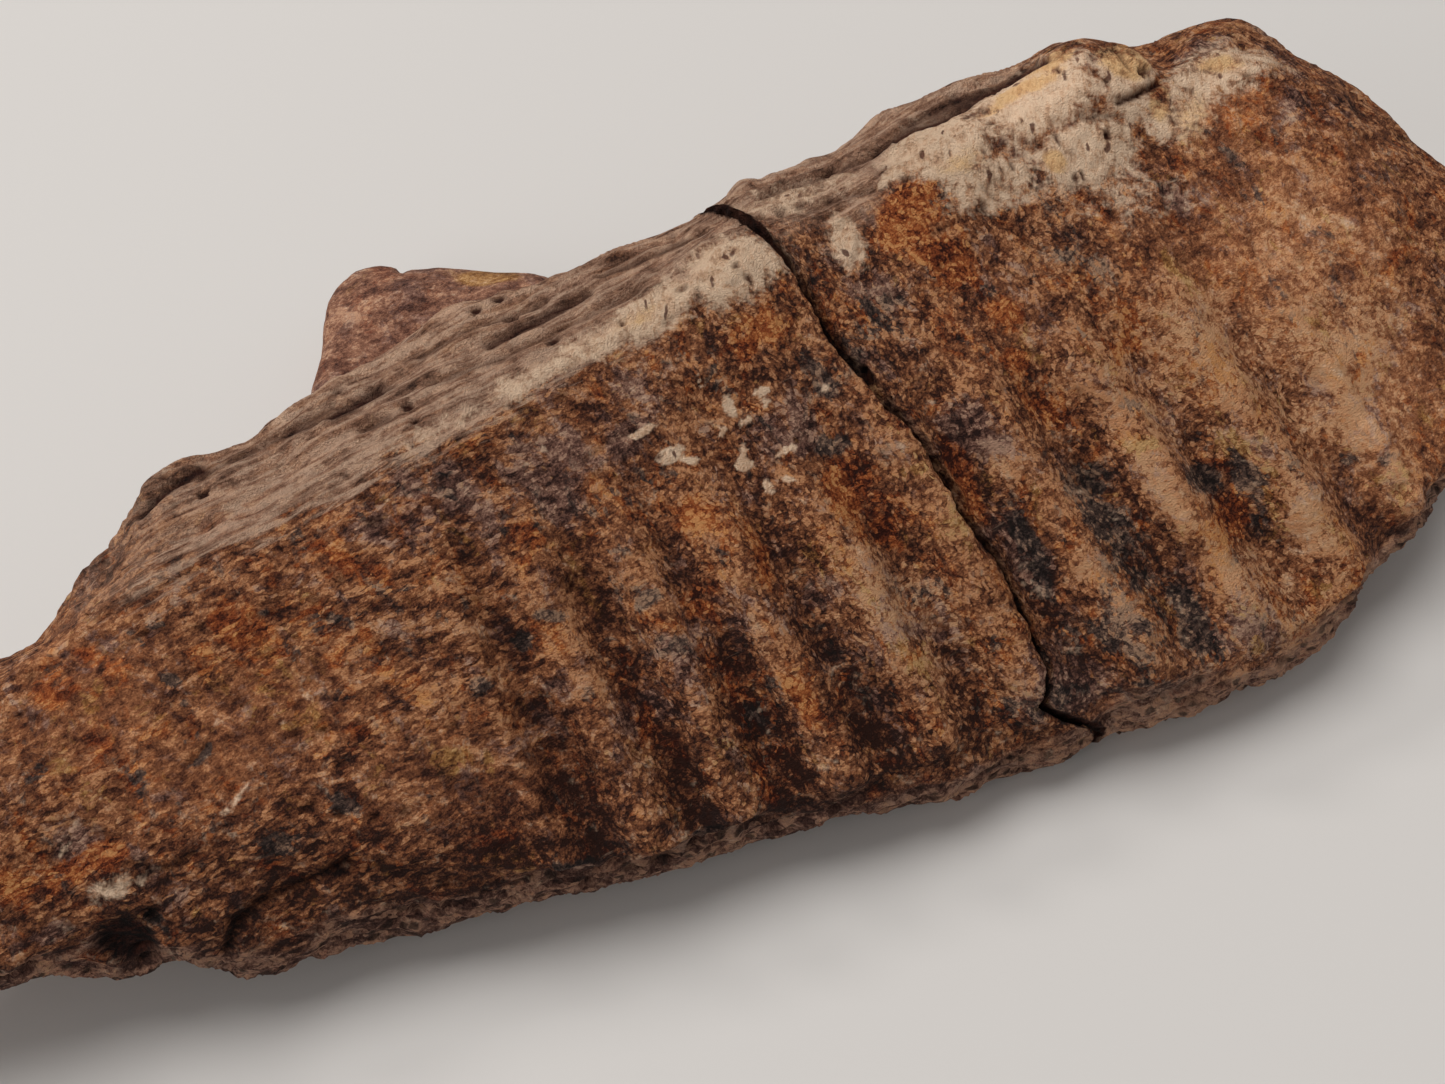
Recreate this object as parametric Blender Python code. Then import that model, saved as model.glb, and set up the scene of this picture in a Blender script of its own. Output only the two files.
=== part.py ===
"""Fossil hadrosaur jaw: a worn stretch of jawbone, broken across into two fragments that lie fitted together.

The bone lies on its outer side, so that its tooth-side face leans back and looks up at the viewer.
Behind the tapered fragment the coronoid process reaches down to the surface and props the bone.

Lengths in the tables are millimetres. Three bone coordinates place every feature:
  along   distance along the jaw, towards its broad rounded end (world +X)
  up      distance up the slope of the tooth-side face, from its lower edge
  deep    distance into the bone, square to that face
"""

import math

import bmesh
import bpy
from mathutils import Vector, noise

MM = 0.001

# How the bone lies: the height of the face's foot above the surface, and the lean of the face.
FOOT_HEIGHT = 12.0
FACE_LEAN = math.radians(60.0)
CENTRE_SHIFT = (6.6, -46.2)

UP_DIRECTION = Vector((0.0, math.sin(FACE_LEAN), math.cos(FACE_LEAN)))
DEEP_DIRECTION = Vector((0.0, math.cos(FACE_LEAN), -math.sin(FACE_LEAN)))

# Outline of the face: its lower crease and its upper ridge, as (along, up).
CREASE = [
    (-106, 21), (-96, 18), (-88, 16), (-78, 14), (-71, 13), (-66, 10.8), (-62, 10), (-57, 9.3),
    (-53, 10), (-47, 13), (-39, 10.4), (-32, 7.1), (-25, 4.9), (-16, 3), (-7, 2.2), (4, 2), (14, 1.6),
    (24, 2.7), (30, 2.2), (42, 0.8), (53, 1), (59, 3.3), (67, 7.4), (74, 12), (79, 16.5),
    (84, 20.5), (88, 23), (91, 25), (92.5, 27.5),
]
RIDGE = [
    (-106, 31), (-96, 34.8), (-88, 37), (-78, 38.8), (-70, 39.3), (-63, 39.7), (-55, 42.8),
    (-46, 45.4), (-35, 47.8), (-21, 49.1), (-8, 50.8), (2, 52.6), (13, 55), (25, 55.2),
    (32, 57.5), (42, 60.2), (50, 61), (58, 58.6), (67, 59.3), (74, 54.5), (79, 46.5),
    (84, 39.5), (88, 35.5), (91, 34.5), (92.5, 32.5),
]

# What lies behind the ridge: the far edge of the fibrous top strip, about STRIP_DEPTH deep.
STRIP_EDGE = [
    (-106, 32), (-96, 36), (-88, 38.7), (-78, 40.8), (-70, 41.4), (-64, 41.6), (-60, 44.5),
    (-55.6, 47.6), (-50.7, 53), (-47, 54.4), (-43, 54), (-40, 54), (-31, 56.3), (-18, 59.7), (-6, 60.3),
    (5, 61.2), (11, 61.4), (15, 63.1), (25.5, 62.7), (32, 65.7), (40, 65.8), (47, 65.2), (52, 66.7),
    (60, 63.6), (67.5, 63.8), (72, 63.2), (75, 60.2), (79, 55), (82, 50.2), (84.5, 44.8), (87, 39),
    (91, 35.5), (92.5, 33),
]
STRIP_DEPTH = 9.0

# What lies under the crease: how low the pitted lower band reaches, about BAND_DEPTH deep.
BAND_EDGE = [
    (-106, 20), (-96, 16.6), (-88, 14.4), (-78, 12.1), (-71, 10.8), (-69, 8.6), (-65, 7.3), (-63, 8.4),
    (-60, 7.3), (-58, 5.4), (-55, 4.4), (-47, 4.5), (-38, 3.1), (-32, 2.6), (-25, 1.8), (-16, 0.3),
    (-7, -0.8), (4, -1.7), (14, -3.8), (24, -4.2), (28.5, -3.9), (30, -2.4), (42, -3.8), (53, -3.1),
    (59, -0.7), (62, 1.8), (67, 3.6), (70, 5.2), (74, 8.6), (79, 13.6), (84, 19), (88, 22.4), (91, 24.3),
    (92.5, 27),
]
BAND_DEPTH = 8.0

THICKNESS = [
    (-106, 11), (-96, 14), (-88, 16.5), (-78, 19), (-63, 22.5), (-47, 26), (-25, 28.4), (0, 29.3),
    (25, 29.8), (42, 29.3), (59, 27.2), (67, 25.3), (74, 22), (79, 19), (84, 16), (88, 12),
    (91, 9), (92.5, 6),
]
ALONG_START, ALONG_END, ALONG_STEP = -106.0, 92.5, 2.5
END_SQUEEZE = 0.3
FACE_CROWN = 1.6

# Tooth sockets, worn down to ribs that cross the lower face: the crest of each at RIB_HEIGHT up.
RIB_CRESTS = [-26, -16.5, -7.5, 2, 12, 22.5, 33.5, 45, 56, 67.5]
RIB_HEIGHT = 12.0
RIB_RELIEF = 0.75
RIB_REACH = (3.0, 36.0)

# Single lumps and hollows of the surface: (along, up, deep, radius, height).
LUMPS = [
    (50.5, 61.5, 1.5, 6.5, 2.6),
    (56.5, 60.0, 2.0, 3.2, 1.6),
    (60.5, 61.0, 3.5, 3.8, -2.2),
    (36.0, 57.0, 1.0, 7.0, 1.0),
    (68.0, 61.0, 5.0, 5.0, 0.8),
    (9.0, 51.0, 0.0, 8.0, 1.2),
    (21.5, 52.5, 0.0, 4.5, -1.2),
    (3.0, 37.0, 0.0, 9.0, -1.2),
    (-30.0, 28.0, 0.0, 22.0, 1.4),
    (-50.0, 10.5, 1.5, 3.4, -1.2),
    (-61.5, 9.5, 6.0, 2.6, -1.0),
    (-66.5, 12.0, 1.5, 3.2, -2.0),
    (-67.0, 9.0, 6.0, 3.0, 0.6),
    (38.0, 2.0, 2.0, 8.0, 1.3),
    (-24.0, 55.0, 5.0, 3.5, -1.3),
    (-48.0, 50.0, 7.0, 4.0, 1.0),
    (83.0, 29.0, 6.0, 9.0, 1.0),
]
BROAD_RELIEF, BROAD_SIZE = 1.1, 15.0
FINE_RELIEF, FINE_SIZE = 0.45, 5.0
STRIP_RELIEF, STRIP_GROOVE = 0.9, (30.0, 4.0, 4.0)
PIT_RELIEF, PIT_SIZE = 1.1, 4.2

# The coronoid process: a flat flange with a flared, notched tip, given by its upper rim (along, up).
CORONOID_RIM = [
    (-40, 46), (-37, 54), (-33.6, 61), (-31.8, 65), (-30.4, 72.2), (-28.4, 75.5), (-25.3, 77.2),
    (-21, 76.9), (-18, 75), (-15.5, 75), (-11, 72.2), (-6, 69), (-1, 65), (4, 60), (8, 54),
]
CORONOID_ROOT = (30.0, 18.0)
CORONOID_TIP = (78.0, 52.5)
CORONOID_HALF_THICKNESS = (7.0, 5.6)
CORONOID_STEP = 2.1
CORONOID_AROUND = 22

# The break: its line on the face from above the ridge to below the band, as (along, up, width).
BREAK_LINE = [
    (11.6, 75, 1.0), (13.4, 60.8, 1.0), (14.6, 55.5, 0.9), (15.8, 51.5, 0.8), (16.6, 46.5, 0.9),
    (17.0, 42.8, 1.25), (17.9, 39.6, 1.2), (18.9, 35.7, 0.85), (20.4, 32.4, 0.8), (21.6, 28.9, 0.8),
    (22.4, 25.4, 1.1), (23.1, 21.6, 1.1), (24.3, 18.6, 0.8), (25.1, 16.1, 0.75), (25.1, 13, 0.7),
    (25.7, 8.6, 0.6), (25.8, 5.4, 0.55), (25.2, 3.5, 0.6), (24.0, 2.6, 0.7), (26.8, 0.3, 0.8),
    (31.5, -2.3, 0.9), (33.5, -16, 0.9),
]
BREAK_SLANT = -0.3
BREAK_DEPTHS = (-20.0, 60.0)
FAR_END = 140.0

FACE_POINTS, BACK_POINTS = 24, 25


def place(along, up, deep):
    """World position, in metres, of a point given in bone coordinates."""
    foot = Vector((CENTRE_SHIFT[0] + along, CENTRE_SHIFT[1], FOOT_HEIGHT))
    return (foot + UP_DIRECTION * up + DEEP_DIRECTION * deep) * MM


def bone_coordinates(point):
    """(along, up, deep) of a world position."""
    offset = Vector(point) / MM - Vector((CENTRE_SHIFT[0], CENTRE_SHIFT[1], FOOT_HEIGHT))
    return offset.x, offset.dot(UP_DIRECTION), offset.dot(DEEP_DIRECTION)


def smooth_step(low, high, value):
    share = min(1.0, max(0.0, (value - low) / (high - low)))
    return share * share * (3.0 - 2.0 * share)


def follow(table, along):
    """A table's value at a place along the jaw, by straight lines between its rows."""
    for (start, first), (end, last) in zip(table, table[1:]):
        if along <= end:
            return first + (last - first) * max(0.0, along - start) / (end - start)
    return table[-1][1]


def spline(points, counts):
    """A closed Catmull-Rom curve through points, with counts[i] samples from point i to the next."""
    samples = []
    for i, count in enumerate(counts):
        a, b, c, d = (Vector(points[(i + k - 1) % len(points)]) for k in range(4))
        for step in range(count):
            t = step / count
            samples.append(
                0.5 * (2 * b + (c - a) * t + (2 * a - 5 * b + 4 * c - d) * t * t
                       + (3 * b - a - 3 * c + d) * t ** 3)
            )
    return samples


def body_section(along):
    """The bone's outline square to the jaw, as a closed loop of (up, deep)."""
    crease, ridge = follow(CREASE, along), follow(RIDGE, along)
    strip, band = follow(STRIP_EDGE, along), follow(BAND_EDGE, along)
    thick = follow(THICKNESS, along)
    height = ridge - crease
    crown = FACE_CROWN * min(1.0, height / 40.0)
    strip_depth = STRIP_DEPTH * min(1.0, thick / 24.0)
    band_depth = BAND_DEPTH * min(1.0, thick / 24.0)
    landmarks = [
        (crease, 0.2),
        (crease + 0.12 * height, -0.5 * crown),
        (crease + 0.5 * height, -crown),
        (crease + 0.9 * height, -0.35 * crown),
        (ridge, 0.8),
        (0.35 * ridge + 0.65 * strip, 0.45 * strip_depth),
        (strip, strip_depth),
        (strip - 2.2, 0.5 * (strip_depth + thick)),
        (crease + 0.86 * height, 0.93 * thick),
        (crease + 0.52 * height, thick),
        (crease + 0.2 * height, 0.8 * thick),
        (band + 2.0, 0.52 * thick),
        (band, band_depth),
        (0.45 * crease + 0.55 * band, 0.3 * band_depth),
    ]
    counts = [3, 9, 9, 3, 2, 3, 2, 3, 3, 4, 3, 2, 2, 1]
    return spline(landmarks, counts)


def coronoid_section(along):
    """The coronoid process's outline square to the jaw, as a closed loop of (up, deep)."""
    rim = follow(CORONOID_RIM, along)
    root = Vector(CORONOID_ROOT)
    run = Vector(CORONOID_TIP) - root
    across = Vector((-run.y, run.x)).normalized()
    reach = (rim - root.x) / run.x
    loop = []
    for step in range(CORONOID_AROUND):
        angle = 2.0 * math.pi * step / CORONOID_AROUND
        share = reach * (0.5 - 0.5 * math.copysign(abs(math.cos(angle)) ** 0.8, math.cos(angle)))
        half = CORONOID_HALF_THICKNESS[0] + share * (
            CORONOID_HALF_THICKNESS[1] - CORONOID_HALF_THICKNESS[0]
        )
        side = math.copysign(abs(math.sin(angle)) ** 0.55, math.sin(angle))
        loop.append(root + run * share + across * side * half)
    return loop


def rib_wave(along, up):
    """-1 in the grooves between the ribs, 1 on their crests. The ribs fan out a little."""
    lean = -(0.12 + 0.0025 * along)
    at = along - lean * (up - RIB_HEIGHT)
    for first, second in zip(RIB_CRESTS, RIB_CRESTS[1:]):
        if first <= at <= second:
            return math.cos(2.0 * math.pi * (at - first) / (second - first))
    return 0.0


def relief(point, normal):
    """How far the surface stands out at a world position, in millimetres."""
    along, up, deep = bone_coordinates(point)
    spot = Vector((along, up, deep))
    facing = -normal.dot(DEEP_DIRECTION)
    face = smooth_step(0.55, 0.85, facing)
    topside = smooth_step(0.2, 0.6, normal.dot(UP_DIRECTION)) * (1.0 - face)
    underside = smooth_step(0.2, 0.6, -normal.dot(UP_DIRECTION)) * smooth_step(22.0, 14.0, deep)

    reach = smooth_step(RIB_REACH[0] - 3.0, RIB_REACH[0] + 3.0, up)
    reach *= smooth_step(RIB_REACH[1] + 10.0, RIB_REACH[1] - 14.0, up)
    height = RIB_RELIEF * face * reach * rib_wave(along, up)

    height += BROAD_RELIEF * noise.noise(spot / BROAD_SIZE)
    height += FINE_RELIEF * noise.noise(spot / FINE_SIZE)
    grain = Vector(part / size for part, size in zip(spot, STRIP_GROOVE))
    height += STRIP_RELIEF * topside * noise.noise(grain)
    distances, _ = noise.voronoi(spot / PIT_SIZE)
    height += PIT_RELIEF * underside * (distances[0] - 0.45)
    for centre_along, centre_up, centre_deep, radius, rise in LUMPS:
        away = (spot - Vector((centre_along, centre_up, centre_deep))).length / radius
        height += rise * math.exp(-1.5 * away * away)
    return height


def mesh_object(name, mesh_data, collection):
    mesh = bpy.data.meshes.new(name)
    mesh_data.normal_update()
    mesh_data.to_mesh(mesh)
    mesh_data.free()
    made = bpy.data.objects.new(name, mesh)
    collection.objects.link(made)
    return made


def loft(name, stations, section, collection):
    """A closed solid through unlike sections: one loop of points at each station along the jaw."""
    made = bmesh.new()
    loops = [
        [made.verts.new(place(along, up, deep)) for up, deep in section(along)]
        for along in stations
    ]
    for first, second in zip(loops, loops[1:]):
        for i in range(len(first)):
            j = (i + 1) % len(first)
            made.faces.new((first[i], first[j], second[j], second[i]))
    for rim in (loops[0], loops[-1]):
        centre = made.verts.new(sum((vert.co for vert in rim), Vector()) / len(rim))
        for i, vert in enumerate(rim):
            made.faces.new((vert, rim[(i + 1) % len(rim)], centre))
    bmesh.ops.recalc_face_normals(made, faces=made.faces)
    made.normal_update()
    moves = [(vert, vert.normal * relief(vert.co, vert.normal) * MM) for vert in made.verts]
    for vert, move in moves:
        vert.co += move
    bmesh.ops.triangulate(made, faces=made.faces)
    return mesh_object(name, made, collection)


def stations_between(start, end, step, squeeze=0.0):
    """Places from start to end about a step apart, drawn closer together near both ends."""
    count = round((end - start) / step)
    for i in range(count + 1):
        share = i / count
        eased = 0.5 - 0.5 * math.cos(math.pi * share)
        yield start + (end - start) * ((1.0 - squeeze) * share + squeeze * eased)


def break_cutter(name, side, collection):
    """A block that covers all of the bone on one side of the break: -1 tapered end, 1 rounded end."""
    made = bmesh.new()
    walls = []
    for deep in BREAK_DEPTHS:
        wall = [
            made.verts.new(place(along + BREAK_SLANT * deep - side * width / 2.0, up, deep))
            for along, up, width in BREAK_LINE
        ]
        for up in (BREAK_LINE[-1][1], BREAK_LINE[0][1]):
            wall.append(made.verts.new(place(side * FAR_END, up, deep)))
        walls.append(wall)
    front, back = walls
    made.faces.new(front)
    made.faces.new(back)
    for i in range(len(front)):
        j = (i + 1) % len(front)
        made.faces.new((front[i], front[j], back[j], back[i]))
    bmesh.ops.recalc_face_normals(made, faces=made.faces)
    cutter = mesh_object(name, made, collection)
    cutter.hide_render = True
    cutter.display_type = "WIRE"
    return cutter


def ground_cutter(collection):
    """The space below the surface that the bone lies on: it gives the bone its flat resting spots."""
    bpy.ops.mesh.primitive_cube_add(size=0.4, location=(0.0, 0.0, -0.2))
    cutter = bpy.context.object
    cutter.name = "ground_cutter"
    for holder in list(cutter.users_collection):
        holder.objects.unlink(cutter)
    collection.objects.link(cutter)
    cutter.hide_render = True
    cutter.display_type = "WIRE"
    return cutter


def boolean(target, other, operation):
    modifier = target.modifiers.new(f"{operation.lower()}_{other.name}", "BOOLEAN")
    modifier.operation = operation
    modifier.object = other
    modifier.solver = "EXACT"


def bone_material(name, colour, roughness):
    material = bpy.data.materials.new(name)
    material.use_nodes = True
    shader = material.node_tree.nodes["Principled BSDF"]
    shader.inputs["Base Color"].default_value = (*colour, 1.0)
    shader.inputs["Roughness"].default_value = roughness
    shader.inputs["Metallic"].default_value = 0.0
    return material


def finish_fragment(fragment, material):
    fragment.data.materials.clear()
    fragment.data.materials.append(material)
    fragment.data.shade_smooth()
    fragment.data.set_sharp_from_angle(angle=math.radians(50.0))


def collection_named(name):
    made = bpy.data.collections.new(name)
    bpy.context.scene.collection.children.link(made)
    return made


def main():
    for old in list(bpy.data.objects):
        bpy.data.objects.remove(old, do_unlink=True)
    jaw = collection_named("fossil_hadrosaur_jaw")
    cutters = collection_named("cutters")
    cutters.hide_render = True

    body = list(stations_between(ALONG_START, ALONG_END, ALONG_STEP, END_SQUEEZE))
    tapered = loft("tapered_fragment", body, body_section, jaw)
    rounded = loft("rounded_fragment", body, body_section, jaw)
    flange = list(
        stations_between(CORONOID_RIM[0][0], CORONOID_RIM[-1][0], CORONOID_STEP, END_SQUEEZE)
    )
    coronoid = loft("coronoid_process", flange, coronoid_section, cutters)
    coronoid.hide_render = True

    ground = ground_cutter(cutters)
    boolean(tapered, coronoid, "UNION")
    boolean(tapered, break_cutter("rounded_side", 1, cutters), "DIFFERENCE")
    boolean(tapered, ground, "DIFFERENCE")
    boolean(rounded, break_cutter("tapered_side", -1, cutters), "DIFFERENCE")
    boolean(rounded, ground, "DIFFERENCE")

    finish_fragment(tapered, bone_material("weathered_bone_tapered", (0.165, 0.078, 0.042), 0.85))
    finish_fragment(rounded, bone_material("weathered_bone_rounded", (0.175, 0.085, 0.047), 0.85))


main()
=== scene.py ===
"""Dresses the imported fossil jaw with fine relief, procedural bone colours, floor, light and camera.

Each fragment's fine surface is made from its own CAD node, so it lies where the solid lies.
Lengths are millimetres, in the three bone coordinates that the jaw's source uses:
along the jaw, up the slope of the tooth-side face, and deep into the bone.
Features are placed by the point of the photograph where they are seen, at a stated depth.
"""

import itertools
import math

import bmesh
import bpy
import numpy as np
from mathutils import Matrix, Vector


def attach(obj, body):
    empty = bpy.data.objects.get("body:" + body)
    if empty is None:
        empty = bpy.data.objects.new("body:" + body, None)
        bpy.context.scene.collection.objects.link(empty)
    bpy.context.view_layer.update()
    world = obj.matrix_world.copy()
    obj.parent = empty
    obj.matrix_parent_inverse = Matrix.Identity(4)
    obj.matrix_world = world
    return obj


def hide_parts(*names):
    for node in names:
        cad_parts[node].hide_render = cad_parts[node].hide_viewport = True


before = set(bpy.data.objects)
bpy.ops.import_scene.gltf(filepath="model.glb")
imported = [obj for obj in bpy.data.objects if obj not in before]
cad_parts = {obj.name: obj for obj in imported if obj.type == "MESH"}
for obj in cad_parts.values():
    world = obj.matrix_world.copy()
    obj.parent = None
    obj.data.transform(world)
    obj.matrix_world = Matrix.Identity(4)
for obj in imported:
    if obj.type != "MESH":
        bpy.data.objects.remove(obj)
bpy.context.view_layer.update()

MM = 0.001

# The bone coordinates: their zero point in the frame, and the up and deep directions.
FOOT = np.array((6.6, -46.2, 12.0))
FACE_LEAN = math.radians(60.0)
UP = np.array((0.0, math.sin(FACE_LEAN), math.cos(FACE_LEAN)))
DEEP = np.array((0.0, math.cos(FACE_LEAN), -math.sin(FACE_LEAN)))

# The photograph's size in picture points, and its camera: where it looks, and from what side and how far.
PHOTO_WIDTH, PHOTO_HEIGHT = 1445, 1084
AIM_UP = 28.0
CAMERA_AZIMUTH, CAMERA_ELEVATION, CAMERA_ROLL = (math.radians(a) for a in (-14.0, 55.0, -8.0))
CAMERA_DISTANCE = 174.0
CAMERA_LENS = 45.0
SENSOR_WIDTH = 36.0

# The break between the fragments, as in the jaw's source: (along, up, width).
BREAK_LINE = [
    (11.6, 75, 1.0), (13.4, 60.8, 1.0), (14.6, 55.5, 0.9), (15.8, 51.5, 0.8), (16.6, 46.5, 0.9),
    (17.0, 42.8, 1.25), (17.9, 39.6, 1.2), (18.9, 35.7, 0.85), (20.4, 32.4, 0.8), (21.6, 28.9, 0.8),
    (22.4, 25.4, 1.1), (23.1, 21.6, 1.1), (24.3, 18.6, 0.8), (25.1, 16.1, 0.75), (25.1, 13, 0.7),
    (25.7, 8.6, 0.6), (25.8, 5.4, 0.55), (25.2, 3.5, 0.6), (24.0, 2.6, 0.7), (26.8, 0.3, 0.8),
    (31.5, -2.3, 0.9), (33.5, -16, 0.9),
]
BREAK_SLANT = -0.3

# The ribs between the worn sockets: where each crest stands along the jaw, at this height on the face.
RIB_CRESTS = [-26, -16.5, -7.5, 2, 12, 22.5, 33.5, 45, 56, 67.5]
RIB_HEIGHT = 12.0

# The ridge where the face ends and the rough upper strip begins, in picture points.
RIDGE = [
    (60, 630), (200, 548), (300, 490), (380, 448), (450, 410), (520, 372), (600, 332), (680, 285),
    (750, 238), (860, 212), (905, 160), (1000, 95), (1080, 45),
]

# Grooves, and below zero raised veins: (depth, half width, deep, [(x, y), ...] in picture points).
LINES = [
    (0.35, 0.22, 0, [(576, 471), (600, 452), (627, 433), (650, 428)]),
    (-0.28, 0.25, 0, [(541, 593), (564, 578), (582, 571), (610, 563), (652, 541)]),
    (-0.25, 0.25, 0, [(406, 600), (431, 591), (448, 575)]),
    (-0.2, 0.25, 0, [(538, 696), (566, 668)]),
    (-0.22, 0.22, 0, [(184, 774), (196, 765), (214, 750), (239, 727), (256, 718)]),
    (0.4, 0.3, 0, [(188, 767), (200, 757), (213, 742)]),
    (-0.25, 0.3, 0, [(196, 845), (233, 811), (263, 783), (306, 744), (320, 726)]),
    (-0.3, 0.25, 0, [(4, 878), (24, 848), (49, 820), (60, 809)]),
    (0.35, 0.3, 0, [(58, 820), (92, 823), (119, 840), (124, 850)]),
    (0.55, 0.4, 0, [(136, 860), (159, 872), (178, 866), (198, 853)]),
    (0.4, 0.3, 0, [(145, 636), (173, 631)]),
    (0.4, 0.3, 0, [(252, 619), (277, 615)]),
    (0.3, 0.25, 0, [(264, 607), (284, 600)]),
    (0.7, 0.5, 1, [(350, 862), (329, 872), (290, 890), (258, 905), (236, 930), (222, 954)]),
    (0.3, 0.25, 0, [(92, 621), (122, 609), (171, 584), (200, 568)]),
    (0.25, 0.18, 0, [(1238, 92), (1238, 115), (1232, 166), (1238, 216), (1252, 261)]),
    (0.25, 0.18, 0, [(1345, 158), (1348, 190), (1352, 222)]),
    (0.8, 0.4, 1, [(1112, 112), (1126, 105), (1140, 96), (1155, 86)]),
    (0.5, 0.3, 1, [(1076, 127), (1096, 126), (1116, 124)]),
    (0.5, 0.3, 1, [(1110, 52), (1118, 66), (1124, 76)]),
    (0.9, 0.6, 3, [(897, 139), (930, 122), (966, 104), (1000, 86), (1036, 67)]),
    (0.6, 0.5, 5, [(870, 152), (920, 118), (980, 92), (1030, 68)]),
    (0.8, 0.5, 4, [(489, 347), (499, 342), (528, 326), (560, 310), (590, 294)]),
    (0.8, 0.6, 4, [(333, 417), (355, 403), (378, 391)]),
    (0.6, 0.5, 3, [(362, 431), (389, 420)]),
    (0.5, 0.5, 4, [(285, 428), (310, 412), (330, 400)]),
    (0.9, 0.6, 4, [(140, 516), (158, 494), (180, 474), (200, 462)]),
    (0.5, 0.5, 3, [(200, 470), (260, 440), (330, 412), (390, 385)]),
    (0.5, 0.45, 5, [(420, 360), (480, 325), (545, 300)]),
    (0.45, 0.4, 3, [(430, 385), (500, 360), (580, 322), (640, 295)]),
    (0.6, 0.4, 5, [(600, 275), (650, 256), (700, 232)]),
    (0.45, 0.35, 3, [(800, 215), (840, 200), (870, 190)]),
    (0.5, 0.4, 5, [(760, 200), (820, 178), (880, 150)]),
    (0.35, 0.3, 0, [(860, 236), (858, 252), (852, 264)]),
    (0.3, 0.25, 0, [(930, 236), (948, 228), (962, 220)]),
    (0.3, 0.2, 0, [(978, 190), (990, 200), (1000, 204)]),
    (0.35, 0.3, 0, [(1000, 225), (1020, 238), (1030, 250)]),
    (0.25, 0.2, 0, [(1170, 250), (1178, 268)]),
    (0.3, 0.25, 0, [(1072, 392), (1088, 408)]),
    (0.3, 0.25, 0, [(700, 385), (720, 377), (742, 378)]),
    (-0.3, 0.45, 0, [
        (330, 850), (380, 851), (440, 860), (502, 867), (592, 859), (676, 840),
        (750, 809), (830, 782), (888, 766), (1000, 722), (1060, 712),
    ]),
    (0.2, 0.6, 2, [
        (340, 868), (380, 868), (440, 878), (502, 884), (592, 875), (676, 854),
        (750, 824), (830, 796), (888, 780), (1000, 738), (1060, 728),
    ]),
    (0.3, 0.25, 0, [(1158, 196), (1163, 214), (1160, 232)]),
    (0.35, 0.3, 0, [(150, 635), (120, 655)]),
    (0.9, 0.6, 44, [(396, 240), (401, 262)]),
]

# Pits, and below zero crumbs and knobs: (x, y in picture points, deep, radius, depth).
SPOTS = [
    (152, 912, 0, 0.9, 0.8), (863, 377, 0, 1, 1.2), (413, 392, 5, 1.5, 1.3), (130, 938, 2, 3, 1.4),
    (1142, 95, 1, 0.5, 0.5), (1127, 44, 1, 0.5, 0.4), (648, 430, 0, 1, -0.45),
    (668, 454, 0, 0.9, -0.4), (743, 458, 0, 0.7, -0.45), (765, 488, 0, 0.7, -0.4),
    (721, 431, 0, 0.6, -0.35), (748, 411, 0, 0.6, -0.3), (887, 317, 0, 0.35, -0.35),
    (1006, 431, 0, 0.4, -0.4), (992, 456, 0, 0.5, -0.4), (1004, 466, 0, 0.6, -0.4),
    (1151, 107, 1, 0.7, -0.6), (1136, 62, 1, 2.4, -0.5), (832, 449, 0, 1, 0.3),
    (1057, 258, 0, 0.9, 0.3), (988, 292, 0, 0.8, 0.3), (485, 688, 0, 1.1, 0.25),
    (285, 836, 0, 1.4, 0.25), (1085, 475, 0, 2.2, 0.3), (1200, 480, 0, 1.8, 0.25),
    (1326, 605, 0, 0.5, -0.3), (885, 672, 0, 0.5, 0.4), (1150, 655, 0, 0.6, 0.3),
    (240, 880, 0, 0.6, 0.5), (183, 744, 0, 0.6, -0.3),
]

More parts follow.
